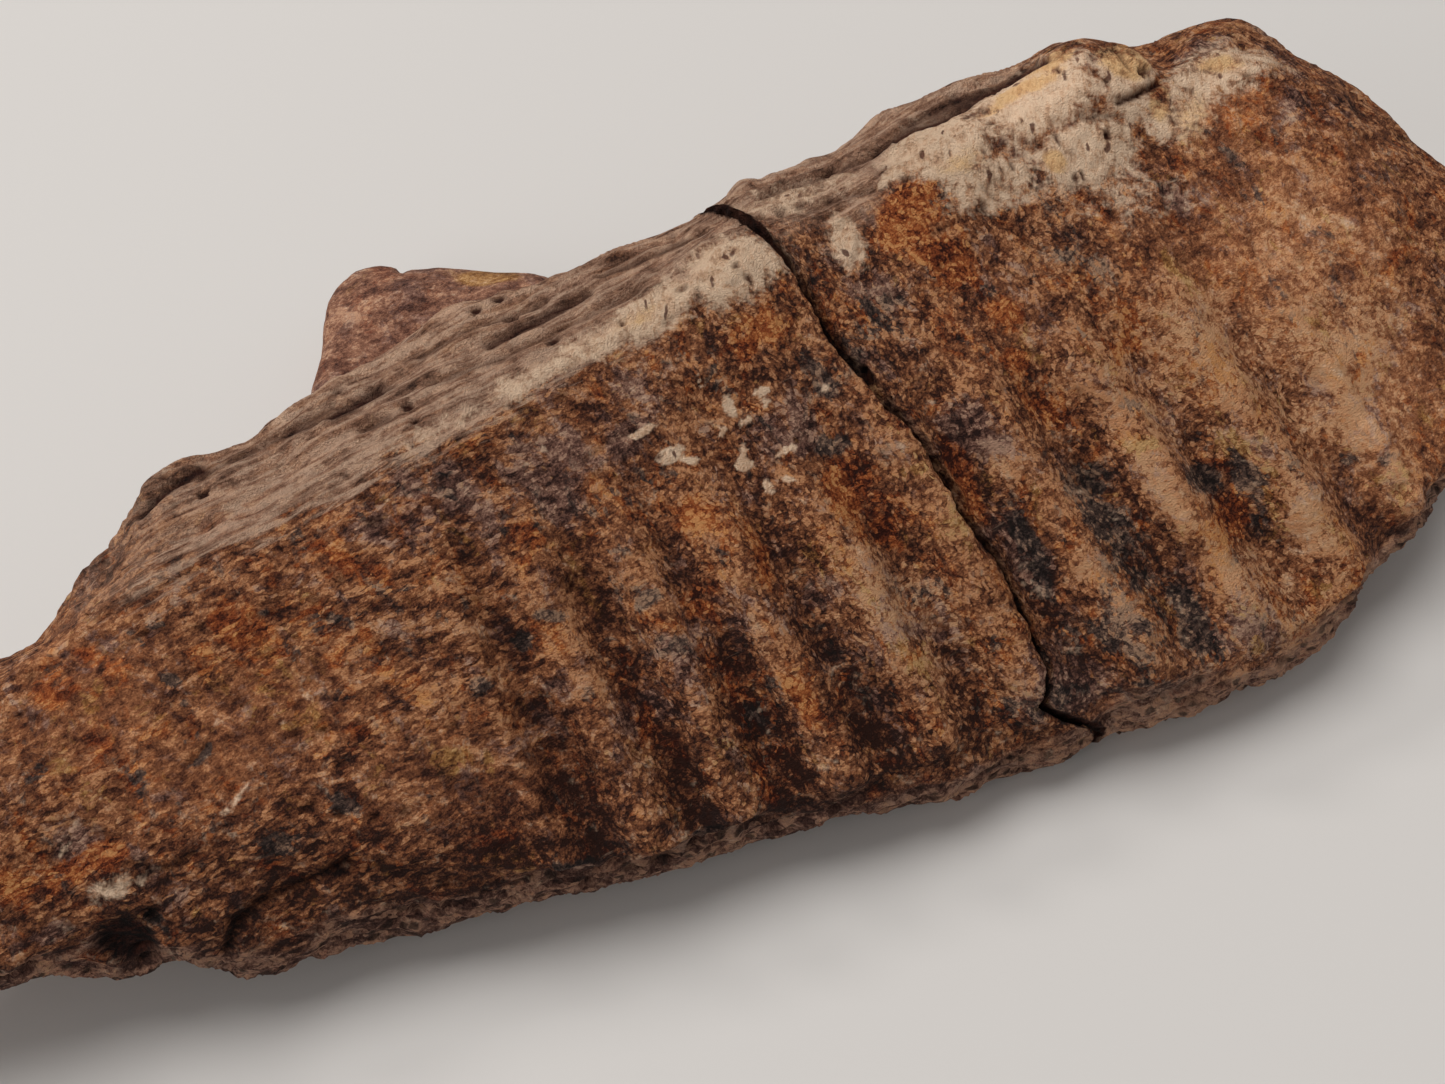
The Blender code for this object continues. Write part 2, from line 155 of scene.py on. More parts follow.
# Where each tint lies: (x, y, half length, half width, turn in degrees, strength, deep),
# the first four in picture points. Calm is where the surface is worn smooth and even.
STAINS = {
    "calm": [
        (1280, 230, 150, 110, 0, 0.9, 0), (1390, 400, 70, 120, 0, 0.8, 0), (1150, 240, 60, 50, 0, 0.5, 0),
        (90, 700, 110, 80, 30, 0.9, 0), (300, 560, 120, 40, 28, 0.4, 0), (240, 740, 150, 70, 30, 0.9, 0),
        (450, 780, 120, 50, 10, 0.6, 0),
        (1060, 100, 90, 50, 25, 0.8, 0), (1230, 120, 60, 60, 0, 0.9, 0), (1000, 330, 60, 50, 0, 0.3, 0),
    ],
    "honey": [
        (1118, 62, 24, 26, 0, 1.2, 1), (1052, 62, 34, 12, 30, 0.8, 1), (1158, 100, 12, 20, 0, 1, 0),
        (1020, 96, 50, 9, 30, 0.8, 1), (1050, 165, 12, 12, 0, 0.9, 0), (1220, 62, 26, 14, 10, 0.7, 0),
        (960, 165, 30, 16, 30, 0.5, 0), (1190, 120, 30, 30, 0, 0.5, 0), (640, 320, 30, 10, 28, 0.5, 0),
    ],
    "pale": [
        (735, 272, 52, 34, 25, 1, 0), (655, 313, 58, 20, 30, 0.95, 0),
        (585, 350, 55, 17, 28, 0.75, 0), (520, 385, 55, 15, 27, 0.55, 0),
        (440, 425, 60, 15, 30, 0.3, 0),
        (848, 240, 18, 30, 20, 0.95, 0), (940, 150, 58, 42, 32, 1, 0),
        (1035, 100, 66, 46, 25, 1, 0), (1080, 155, 58, 32, 15, 0.95, 0),
        (990, 188, 50, 28, 10, 0.85, 0), (893, 170, 20, 8, 40, 0.9, 0),
        (1122, 85, 30, 42, 0, 0.9, 0), (1215, 72, 52, 28, 20, 0.9, 0),
        (1172, 122, 34, 22, 20, 0.75, 0), (1262, 62, 28, 22, 0, 0.5, 0),
        (1130, 195, 60, 30, 0, 0.35, 0), (790, 196, 60, 16, 20, 0.6, 4),
        (644, 431, 16, 4, 22, 2, 0), (668, 455, 13, 5, 25, 2, 0), (690, 461, 9, 3, -15, 1.7, 0),
        (741, 464, 9, 4, 10, 2, 0), (743, 454, 3, 7, 0, 1.8, 0), (765, 488, 9, 4, -55, 1.8, 0),
        (718, 432, 4, 6, 0, 1.6, 0), (729, 409, 5, 9, 20, 1.7, 0), (745, 424, 9, 3, 30, 1.5, 0),
        (764, 394, 8, 4, 30, 1.5, 0), (768, 408, 3, 5, 0, 1.6, 0), (789, 455, 8, 3, 10, 1.5, 0),
        (790, 485, 8, 3, 0, 1.2, 0), (700, 382, 3, 8, 20, 1.3, 0), (826, 390, 3, 3, 0, 1.4, 0),
        (115, 885, 26, 14, 40, 0.75, 0), (235, 800, 26, 4, 38, 0.8, 0), (66, 846, 9, 4, 45, 0.7, 0),
        (70, 688, 8, 5, 35, 0.7, 0), (30, 900, 14, 7, 20, 0.5, 0), (300, 748, 9, 6, 0, 0.5, 0),
        (150, 880, 14, 6, 20, 0.4, 0),
    ],
    "sand": [
        (1150, 420, 44, 18, -40, 1, 0), (900, 620, 80, 44, -58, 0.9, 0),
        (1285, 600, 60, 44, -50, 0.8, 0), (1290, 250, 70, 90, 0, 0.5, 0),
        (1150, 487, 58, 11, -52, 0.9, 0), (1225, 572, 60, 12, -50, 0.9, 0),
        (1290, 640, 38, 14, -50, 0.7, 0), (1297, 505, 72, 15, -60, 0.8, 0),
        (940, 610, 84, 13, -54, 0.9, 0), (850, 640, 58, 9, -52, 0.6, 0),
        (745, 610, 78, 11, -58, 0.6, 0), (1100, 592, 52, 9, -62, 0.8, 0),
        (1000, 466, 26, 11, -30, 0.8, 0), (1200, 350, 110, 65, 0, 0.85, 0),
        (1335, 380, 75, 100, 0, 0.9, 0), (1290, 230, 70, 60, 0, 0.6, 0),
        (1150, 415, 38, 22, -30, 0.8, 0), (415, 812, 30, 34, 0, 0.5, 0),
        (640, 760, 26, 45, -60, 0.4, 0), (1010, 690, 30, 14, 20, 0.6, 0),
        (1390, 460, 40, 40, 0, 0.5, 0), (1320, 560, 24, 40, -60, 0.5, 0),
        (580, 330, 60, 10, 28, 0.4, 4), (250, 440, 60, 10, 32, 0.6, 4),
        (480, 330, 70, 10, 32, 0.5, 5), (640, 260, 60, 8, 28, 0.4, 5), (990, 75, 70, 9, 30, 0.5, 6),
        (1240, 40, 40, 14, 10, 0.5, 3), (350, 330, 20, 50, 80, 0.5, 44),
        (1060, 380, 40, 30, 0, 0.35, 0), (70, 640, 40, 8, 25, 0.5, 0),
    ],
    "rust": [
        (905, 210, 32, 26, 60, 1.5, 0), (888, 236, 20, 16, 0, 0.9, 0),
        (958, 272, 48, 26, -20, 0.9, 0), (1000, 312, 28, 18, 0, 0.8, 0),
        (748, 334, 34, 24, 0, 0.9, 0), (845, 495, 26, 26, -40, 1.1, 0),
        (872, 530, 18, 18, 0, 0.7, 0), (967, 488, 52, 16, -62, 1.2, 0),
        (700, 520, 24, 28, 0, 0.55, 0), (765, 560, 38, 20, -60, 0.6, 0),
        (803, 705, 38, 12, -62, 0.8, 0), (1222, 515, 24, 22, 0, 0.9, 0),
        (1241, 510, 28, 7, -80, 0.9, 0), (100, 858, 38, 20, 20, 1.2, 0),
        (15, 890, 18, 20, 0, 0.8, 0), (235, 520, 60, 18, 30, 0.6, 0), (95, 665, 28, 18, 0, 0.6, 0),
        (330, 560, 80, 20, 28, 0.4, 0), (60, 700, 28, 10, 30, 0.5, 0),
        (700, 600, 20, 40, -60, 0.5, 0), (1350, 650, 30, 18, 30, 0.6, 0),
        (640, 720, 18, 30, 0, 0.4, 0), (1120, 330, 40, 30, 0, 0.35, 0),
        (560, 640, 40, 30, 0, 0.35, 0), (900, 720, 20, 12, 0, 0.5, 0),
        (380, 255, 14, 30, 0, 0.5, 44), (420, 700, 50, 30, 0, 0.3, 0),
        (250, 640, 60, 30, 20, 0.4, 0), (1010, 360, 20, 12, 0, 0.6, 0),
    ],
    "ochre": [
        (492, 283, 34, 12, -12, 1.4, 44), (940, 522, 20, 18, 0, 0.5, 0),
        (1166, 265, 22, 9, -70, 0.9, 0), (905, 652, 26, 20, 0, 0.7, 0),
        (1128, 452, 20, 12, 0, 0.7, 0), (1225, 445, 26, 14, 0, 0.6, 0),
        (820, 560, 24, 24, 0, 0.5, 0), (300, 660, 70, 30, 20, 0.35, 0),
        (1240, 610, 26, 14, -50, 0.7, 0), (1320, 590, 10, 10, 0, 0.8, 0),
        (1255, 640, 10, 12, 0, 0.8, 0), (470, 760, 30, 20, 0, 0.5, 0),
        (400, 600, 60, 20, 25, 0.4, 0), (870, 790, 40, 12, 15, 0.4, 0),
        (200, 700, 60, 30, 20, 0.3, 0),
    ],
    "slate": [
        (832, 449, 14, 11, 0, 1.3, 0), (1084, 480, 28, 26, 0, 0.9, 0),
        (1112, 532, 46, 30, -60, 1, 0), (1142, 592, 44, 22, -60, 0.9, 0),
        (1122, 645, 42, 34, -45, 0.85, 0), (1190, 622, 50, 18, -60, 1.1, 0),
        (1200, 480, 26, 17, 15, 1.1, 0), (1248, 482, 38, 13, -60, 1.2, 0),
        (1262, 525, 24, 12, -70, 1, 0), (1026, 548, 60, 13, -62, 0.9, 0),
        (1072, 640, 26, 24, 0, 0.8, 0), (868, 335, 38, 16, 30, 0.6, 0),
        (862, 366, 24, 16, 0, 0.7, 0), (820, 372, 38, 20, -50, 0.7, 0),
        (760, 722, 28, 20, -60, 0.8, 0), (668, 648, 28, 12, 0, 0.8, 0),
        (648, 604, 13, 8, 40, 1.1, 0), (549, 619, 18, 6, 0, 0.9, 0), (617, 553, 13, 5, 0, 1, 0),
        (485, 688, 15, 11, 0, 1.1, 0), (523, 642, 11, 9, 0, 0.9, 0), (663, 471, 12, 7, 0, 1, 0),
        (285, 836, 20, 16, 0, 1, 0), (352, 802, 18, 12, 0, 0.9, 0), (152, 912, 10, 6, 0, 1.6, 0),
        (175, 680, 18, 9, 0, 0.9, 0), (40, 772, 28, 10, 52, 0.8, 0), (161, 632, 16, 3, 5, 1.3, 0),
        (340, 615, 11, 5, 0, 1.1, 0), (265, 617, 13, 4, 0, 1.1, 0), (205, 754, 20, 4, 38, 1.3, 0),
        (235, 470, 50, 10, 30, 0.4, 4), (470, 410, 40, 14, 28, 0.4, 0),
        (880, 300, 30, 18, 0, 0.6, 0), (1057, 258, 14, 10, 0, 1, 0), (988, 292, 10, 8, 0, 1.1, 0),
        (1255, 198, 10, 10, 0, 0.9, 0), (1380, 460, 10, 8, 0, 0.9, 0),
        (1345, 455, 14, 10, 0, 0.9, 0), (1122, 408, 12, 10, 0, 0.9, 0),
        (610, 500, 50, 20, 25, 0.35, 0), (1320, 240, 20, 20, 0, 0.5, 0),
        (1080, 270, 30, 30, 0, 0.4, 0), (705, 840, 50, 8, 15, 0.8, 0),
        (1040, 700, 50, 14, 15, 0.7, 0), (1160, 690, 50, 14, 10, 0.7, 0),
        (770, 700, 14, 20, 0, 0.7, 0), (930, 590, 14, 24, -60, 0.6, 0),
        (990, 640, 12, 24, -60, 0.7, 0), (330, 620, 60, 20, 20, 0.25, 0),
        (575, 862, 26, 6, 5, 0.9, 0), (440, 460, 70, 30, 25, 0.4, 0),
    ],
    "plum": [
        (962, 432, 34, 30, -30, 0.9, 0), (1032, 562, 58, 18, -62, 0.9, 0),
        (872, 290, 44, 24, 0, 0.8, 0), (560, 470, 110, 40, 27, 0.6, 0),
        (430, 500, 70, 34, 25, 0.6, 0), (640, 385, 60, 26, 28, 0.4, 0),
        (1300, 112, 48, 44, 0, 0.5, 0), (1240, 640, 40, 46, -50, 0.6, 0),
        (1070, 690, 60, 22, 18, 0.8, 0), (790, 430, 34, 40, -50, 0.7, 0),
        (700, 640, 30, 60, -60, 0.5, 0), (810, 600, 20, 60, -60, 0.6, 0),
        (890, 640, 18, 56, -58, 0.7, 0), (650, 700, 30, 60, -62, 0.5, 0),
        (540, 720, 30, 50, -65, 0.4, 0), (75, 845, 30, 16, 20, 0.7, 0),
        (130, 850, 30, 10, 10, 0.5, 0), (390, 400, 50, 16, 30, 0.8, 5),
        (560, 300, 50, 8, 30, 0.6, 6), (480, 350, 30, 10, 30, 0.5, 5),
        (870, 160, 60, 8, 32, 0.7, 6), (960, 90, 60, 6, 32, 0.7, 6), (1180, 60, 40, 12, 20, 0.7, 5),
        (110, 560, 60, 12, 45, 0.5, 4), (1390, 600, 30, 30, 0, 0.5, 0),
        (1330, 660, 40, 12, 35, 0.6, 0), (380, 640, 60, 20, 15, 0.4, 0),
        (1180, 200, 50, 30, 0, 0.4, 0), (130, 950, 40, 14, 0, 1, 2), (60, 930, 40, 12, 20, 0.6, 0),
        (420, 310, 20, 40, 0, 0.4, 44), (340, 400, 30, 14, 0, 0.6, 40),
        (1100, 100, 6, 18, 60, 0.7, 0),
    ],
}

TAPERED_EDGE = 0.77
ROUNDED_EDGE = 0.74

# Edges grow longer from this depth on, over this run, by this share. At the face's rims they are shorter.
BACK_DEPTH = 9.0
BACK_RUN = 7.0
BACK_LONGER = 3.2
EDGE_SHORTER = 0.86

# The solid's facets are relaxed by this many rounds, over about this length.
RELAX_ROUNDS = 9
RELAX_REACH = 0.45

# The surface's stretches in bone coordinates. Each pair is where one begins and where it is full.
STRIP_DEPTH = (20.0, 14.0)
STRIP_END = (50.0, 44.0)
STRIP_START = (-68.0, -38.0)
BAND_DEPTH = (22.0, 15.0)
FLANGE_DEPTH = (24.0, 30.0)
FLANGE_HEIGHT = (40.0, 48.0)
RIBBED_START = (-34.0, -6.0)
RIBS_BOTTOM = (-1.0, 5.0)
RIBS_TOP = (44.0, 26.0)

# The relief's reach above and below the solid, and how far a point may stand off its neighbours.
RELIEF_REACH = (-1.9, 1.3)
SPIKE = 0.3

SEED = 11
GRADIENTS = np.random.default_rng(SEED).normal(size=(256, 3))
GRADIENTS /= np.linalg.norm(GRADIENTS, axis=1, keepdims=True)


def camera_axes():
    """The camera's right, up and back directions."""
    level = np.array((math.cos(CAMERA_AZIMUTH), math.sin(CAMERA_AZIMUTH), 0.0))
    outward = np.array((math.sin(CAMERA_AZIMUTH), -math.cos(CAMERA_AZIMUTH), 0.0))
    back = outward * math.cos(CAMERA_ELEVATION) + np.array((0.0, 0.0, math.sin(CAMERA_ELEVATION)))
    upright = np.cross(back, level)
    right = level * math.cos(CAMERA_ROLL) + upright * math.sin(CAMERA_ROLL)
    upward = upright * math.cos(CAMERA_ROLL) - level * math.sin(CAMERA_ROLL)
    return right, upward, back


CAMERA_RIGHT, CAMERA_UP, CAMERA_BACK = camera_axes()
EYE = FOOT + UP * AIM_UP + CAMERA_BACK * CAMERA_DISTANCE


def seen_at(x, y, deep):
    """Along and up of what the photograph shows at a picture point, on the sheet at that depth."""
    reach = CAMERA_LENS / SENSOR_WIDTH * PHOTO_WIDTH
    sideways = (x - PHOTO_WIDTH / 2) / reach
    downward = (y - PHOTO_HEIGHT / 2) / reach
    ray = CAMERA_RIGHT * sideways - CAMERA_UP * downward - CAMERA_BACK
    start = FOOT + DEEP * deep - EYE
    spot = EYE + ray * (start @ DEEP) / (ray @ DEEP) - FOOT
    return np.array((spot[0], spot @ UP))


def smooth_step(low, high, value):
    share = np.clip((value - low) / (high - low), 0.0, 1.0)
    return share * share * (3.0 - 2.0 * share)


def scrambled(lattice, seed):
    """A whole number from 0 to 65535 for each lattice cell."""
    mixed = lattice[:, 0] * 374761393 + lattice[:, 1] * 668265263 + lattice[:, 2] * 2147483629
    mixed = (mixed + seed * 974634777) & 0xFFFFFFFF
    mixed = ((mixed ^ (mixed >> 13)) * 1274126177) & 0xFFFFFFFF
    return (mixed ^ (mixed >> 16)) & 0xFFFF


def noise(spots, size, seed):
    """Smooth noise from about -1 to 1. size is one length, or one for each coordinate."""
    at = spots / np.asarray(size, dtype=float)
    base = np.floor(at).astype(np.int64)
    part = at - base
    ease = part**3 * (part * (part * 6.0 - 15.0) + 10.0)
    total = np.zeros(len(at))
    for corner in itertools.product((0, 1), repeat=3):
        pull = GRADIENTS[scrambled(base + corner, seed) & 255]
        share = np.prod(np.where(corner, ease, 1.0 - ease), axis=1)
        total += share * ((part - corner) * pull).sum(axis=1)
    return 1.7 * total


def cells(spots, size, seed):
    """Distances to the nearest and second nearest cell centres, and the nearest's own number, 0 to 1."""
    at = spots / np.asarray(size, dtype=float)
    base = np.floor(at).astype(np.int64)
    first = np.full(len(at), 9.0)
    second = np.full(len(at), 9.0)
    number = np.zeros(len(at))
    for offset in itertools.product((-1, 0, 1), repeat=3):
        cell = base + offset
        shifts = [scrambled(cell, seed + k) / 65536.0 for k in range(3)]
        away = np.sqrt(sum((cell[:, k] + shifts[k] - at[:, k]) ** 2 for k in range(3)))
        nearer = away < first
        second = np.where(nearer, first, np.minimum(second, away))
        first = np.where(nearer, away, first)
        number = np.where(nearer, shifts[0], number)
    return first, second, number


def turned(spots, degrees):
    """The spots with along and up turned by an angle, so that the first coordinate runs that way."""
    angle = math.radians(degrees)
    along = spots[:, 0] * math.cos(angle) + spots[:, 1] * math.sin(angle)
    across = spots[:, 1] * math.cos(angle) - spots[:, 0] * math.sin(angle)
    return np.stack((along, across, spots[:, 2]), axis=1)


def bone_coordinates(points):
    away = points - FOOT
    return np.stack((away[:, 0], away @ UP, away @ DEEP), axis=1)


def break_line(up, deep):
    """Along and width of the break at a height and depth."""
    rows = sorted(BREAK_LINE, key=lambda row: row[1])
    heights = [row[1] for row in rows]
    middle = np.interp(up, heights, [row[0] for row in rows]) + BREAK_SLANT * deep
    return middle, np.interp(up, heights, [row[2] for row in rows])


def rib_wave(along, up):
    """1 on the crest of a rib and -1 in the valley between two."""
    lean = -(0.12 + 0.0025 * along)
    at = along - lean * (up - RIB_HEIGHT)
    wave = np.zeros(len(at))
    for first, second in zip(RIB_CRESTS, RIB_CRESTS[1:]):
        here = (at >= first) & (at <= second)
        wave[here] = np.cos(2.0 * math.pi * (at[here] - first) / (second - first))
    return wave


def fine_triangles(node, longest):
    """The CAD node's surface cut into small triangles where the viewer looks, and larger ones below.

    Returns points in millimetres, and triangles as rows of three point numbers.
    """
    fine = bmesh.new()
    fine.from_mesh(node.data)
    fine.transform(Matrix.Scale(1.0 / MM, 4) @ node.matrix_world)
    bmesh.ops.remove_doubles(fine, verts=fine.verts, dist=0.003)
    bmesh.ops.triangulate(fine, faces=fine.faces)
    up, deep, foot = Vector(UP), Vector(DEEP), Vector(FOOT)

    def allowed(edge):
        away = (edge.verts[0].co + edge.verts[1].co) * 0.5 - foot
        height, depth = away.dot(up), away.dot(deep)
        below = max(0.0, min(1.0, (depth - BACK_DEPTH) / BACK_RUN))
        seen_from_above = height > 38.0 and away.z > -6.0
        if seen_from_above:
            below = min(below, 0.3)
        edge_zone = height < 7.0 or height > 46.0
        return longest * (EDGE_SHORTER if edge_zone else 1.0) * (1.0 + BACK_LONGER * below)

    for _ in range(12):
        long_edges = [edge for edge in fine.edges if edge.calc_length() > allowed(edge)]
        if not long_edges:
            break
        bmesh.ops.subdivide_edges(fine, edges=long_edges, cuts=1)
        bmesh.ops.triangulate(fine, faces=[face for face in fine.faces if len(face.verts) > 3])
    mesh = bpy.data.meshes.new("fine")
    fine.to_mesh(mesh)
    fine.free()
    points = np.empty(len(mesh.vertices) * 3)
    mesh.vertices.foreach_get("co", points)
    corners = np.empty(len(mesh.loops), dtype=np.int32)
    mesh.loops.foreach_get("vertex_index", corners)
    bpy.data.meshes.remove(mesh)
    return points.reshape(-1, 3), corners.reshape(-1, 3)


def point_normals(points, triangles):
    a, b, c = (points[triangles[:, k]] for k in range(3))
    face = np.cross(b - a, c - a)
    normals = np.zeros((len(points), 3))
    for axis in range(3):
        for k in range(3):
            normals[:, axis] += np.bincount(triangles[:, k], face[:, axis], len(points))
    return normals / np.maximum(np.linalg.norm(normals, axis=1, keepdims=True), 1e-12)


def linked_pairs(triangles):
    """Both directions of every edge, as two rows of point numbers."""
    pairs = np.concatenate([triangles[:, (0, 1)], triangles[:, (1, 2)], triangles[:, (2, 0)]])
    pairs = np.unique(np.sort(pairs, axis=1), axis=0)
    return np.concatenate([pairs, pairs[:, ::-1]]).T


def neighbour_mean(points, one, two, count):
    total = np.stack([np.bincount(one, points[two, axis], len(points)) for axis in range(3)], axis=1)
    return total / np.maximum(count, 1)[:, None]


def smoothed(points, triangles, wall, rounds, reach):
    """Relaxes the solid's facets. The break's rims keep their line, and the resting spots stay flat."""
    one, two = linked_pairs(triangles)
    rim = wall & (np.bincount(one, ~wall[two], len(points)) > 0)
    used = ~rim[one] | rim[two]
    one, two = one[used], two[used]
    count = np.bincount(one, minlength=len(points))
    gaps = np.linalg.norm(points[one] - points[two], axis=1)
    spacing = np.bincount(one, gaps, len(points)) / np.maximum(count, 1)
    share = 0.5 * np.minimum(1.0, (reach / np.maximum(spacing, 1e-6)) ** 2)
    resting = points[:, 2] < 0.02
    for _ in range(rounds):
        move = (neighbour_mean(points, one, two, count) - points) * share[:, None]
        move[resting, 2] = 0.0
        points = points + move
    return points


def without_spikes(points, triangles, most):
    """Pulls back points that stand further than a length from the middle of their neighbours."""
    one, two = linked_pairs(triangles)
    count = np.bincount(one, minlength=len(points))
    for _ in range(3):
        away = points - neighbour_mean(points, one, two, count)
        size = np.linalg.norm(away, axis=1, keepdims=True)
        points = points - away * np.clip(1.0 - most / np.maximum(size, 1e-9), 0.0, 1.0)
    return points


def line_depth(spots):
    """The depth cut by LINES at each spot."""
    depth = np.zeros(len(spots))
    for cut, half, deep, row in LINES:
        near = np.full(len(spots), 9.0)
        places = [seen_at(x, y, deep) for x, y in row]
        for start, end in zip(places, places[1:]):
            run = end - start
            away = spots[:, :2] - start
            share = np.clip(away @ run / (run @ run), 0.0, 1.0)
            near = np.minimum(near, np.linalg.norm(away - share[:, None] * run, axis=1))
        near += 0.12 * np.maximum(0.0, np.abs(spots[:, 2] - deep) - 3.0)
        depth += cut * np.exp(-((near / half) ** 2))
    return depth


def spot_depth(spots):
    """The depth of SPOTS at each spot."""
    depth = np.zeros(len(spots))
    for x, y, deep, radius, cut in SPOTS:
        away = np.linalg.norm(spots - (*seen_at(x, y, deep), deep), axis=1) / radius
        depth += cut * smooth_step(1.25, 0.55, away)
    return depth


def stain(spots, name):
    """How strongly a tint lies at each spot."""
    total = np.zeros(len(spots))
    for x, y, length, width, turn, strength, deep in STAINS[name]:
        angle = math.radians(turn)
        middle = seen_at(x, y, deep)
        ahead = seen_at(x + length * math.cos(angle), y - length * math.sin(angle), deep) - middle
        aside = seen_at(x - width * math.sin(angle), y - width * math.cos(angle), deep) - middle
        share = (spots[:, :2] - middle) @ np.linalg.inv(np.stack((ahead, aside)))
        distance = np.sqrt((share**2).sum(axis=1) + ((spots[:, 2] - deep) / 9.0) ** 2)
        total = np.maximum(total, strength * smooth_step(1.6, 0.3, distance))
    return total


def surface_zones(spots, normals):
    """The stretches of the jaw's surface, each as a share from 0 to 1 at every point."""
    along, up, deep = spots.T
    face = smooth_step(0.55, 0.85, -normals @ DEEP)
    ridge = np.array([seen_at(x, y, 0.0) for x, y in RIDGE])
    above_ridge = up - np.interp(along, ridge[:, 0], ridge[:, 1]) + 1.8 * noise(spots, 5.0, 60)
    strip = smooth_step(-1.6, 2.0, above_ridge) * smooth_step(*STRIP_DEPTH, deep)
    crest = np.exp(-((above_ridge / 3.2) ** 2)) * smooth_step(12.0, 6.0, deep)
    band = smooth_step(0.1, 0.5, -(normals @ UP)) * smooth_step(*BAND_DEPTH, deep) * (1.0 - face)
    flange = smooth_step(*FLANGE_DEPTH, deep) * smooth_step(*FLANGE_HEIGHT, up)
    ribbed = smooth_step(*RIBBED_START, along - 0.55 * (up - 20.0)) * face
    return {
        "face": face,
        "strip": strip * smooth_step(*STRIP_END, along),
        "crest": crest * smooth_step(20.0, 0.0, along),
        "band": band,
        "flange": flange,
        "ribbed": np.maximum(ribbed, flange),
        "ribs": rib_wave(along, up) * face * smooth_step(*RIBS_BOTTOM, up) * smooth_step(*RIBS_TOP, up),
        "low": smooth_step(26.0, 6.0, up) * smooth_step(40.0, 0.0, along),
    }


def relief(spots, zones, tints, warp, warped):
    """How far each point stands off the solid, how dark its pits, slits, sponge and cuts are painted as
    shade, and how light it is painted where its fibres, grains, bark and ripples stand up, as painted
    light.
    """
    strip, band, flange = zones["strip"], zones["band"], zones["flange"]
    ribbed = zones["ribbed"]
    with_axis = turned(warped, 9.0)
    with_ribs = turned(warped, 104.0)
    height = 0.72 * zones["ribs"] + 0.35 * noise(spots, 8.0, 1)
    height += 0.22 * noise(warped, 3.2, 2) * (1.0 - 0.6 * flange)

    fibres = 0.16 * noise(with_axis, (4.5, 1.1, 1.1), 3) + 0.12 * noise(with_axis, (2.2, 0.7, 0.7), 4)
    grains = 0.12 * noise(with_ribs, (2.6, 1.0, 1.0), 5) + 0.12 * noise(with_ribs, 0.75, 6)
    texture = (fibres * (1.0 - ribbed) + grains * ribbed) * (1.0 - 0.6 * flange)

    # The strip is furrowed like bark.
    bark = noise(turned(spots + 0.5 * warp, 9.0), (15.0, 1.9, 1.9), 8)
    bark_fine = noise(turned(spots, 10.0), (6.0, 0.8, 0.8), 9)
    height += strip * (0.5 * (np.abs(bark) * 2.0 - 0.6) + 0.25 * bark_fine)

    # The lower band is open like a sponge, between ripples.
    first, second, number = cells(turned(warped, 6.0), (2.9, 1.9, 1.9), 20)
    walls = smooth_step(0.5, 0.08, second - first)
    sponge = band * (1.0 - walls) * smooth_step(0.1, 0.75, number)
    ripples = np.abs(noise(turned(warped, 5.0), (9.0, 1.5, 1.5), 21))
    height += band * (0.5 - 1.1 * np.sqrt(ripples)) - 0.75 * sponge

    first, second, number = cells(with_axis, (2.6, 1.7, 1.7), 24)
    holes = smooth_step(0.38, 0.16, first) * (number > 0.86) * (zones["face"] + strip)
    holes *= 1.0 - 0.5 * ribbed
    height -= 0.4 * holes

    # Bleached patches and crumbs stand up a little, and are slit.
    first, second, number = cells(turned(spots + 0.4 * warp, 100.0), (2.1, 0.85, 0.85), 33)
    on_pale = smooth_step(0.35, 0.8, tints["pale"])
    slits = on_pale * smooth_step(0.46, 0.2, first) * (number > 0.88)
    height += on_pale * (0.28 + 0.2 * noise(warped, 1.2, 34)) - 0.45 * slits

    cuts = line_depth(spots + 0.25 * warp) + spot_depth(spots + 0.3 * warp)
    height = np.clip(height + texture - cuts, *RELIEF_REACH)
    # Pits, slits, sponge and the grooves and pits cut by LINES and SPOTS get this share of painted shade.
    recess_shade = np.clip(0.7 * holes + slits + 0.55 * sponge + 1.3 * np.clip(cuts, 0.0, 1.0), 0.0, 1.0)
    # Raised fibres, grains, bark and band ripples are painted lighter and low ones darker: partly grain
    # tone, partly painted light and shade on the relief.
    light = np.clip(0.5 + 1.6 * texture + 0.6 * (strip * bark + band * (0.3 - ripples)), 0.0, 1.0)
    return height, recess_shade, light


def torn_edge(spots, middle):
    """How far each point near the break moves along the jaw, so that the break is rough."""
    along, up, deep = spots.T
    from_break = np.abs(along - middle)
    across_break = np.stack((0.0 * up, up, deep), axis=1)
    jag = 0.3 * noise(across_break, 2.4, 50) + 0.2 * noise(across_break, 0.9, 51)
    jag += 0.07 * noise(spots, 0.8, 52)
    worn_back = np.sign(along - middle) * 0.18 * smooth_step(1.4, 0.5, from_break)
    return worn_back + jag * smooth_step(2.5, 0.6, from_break)


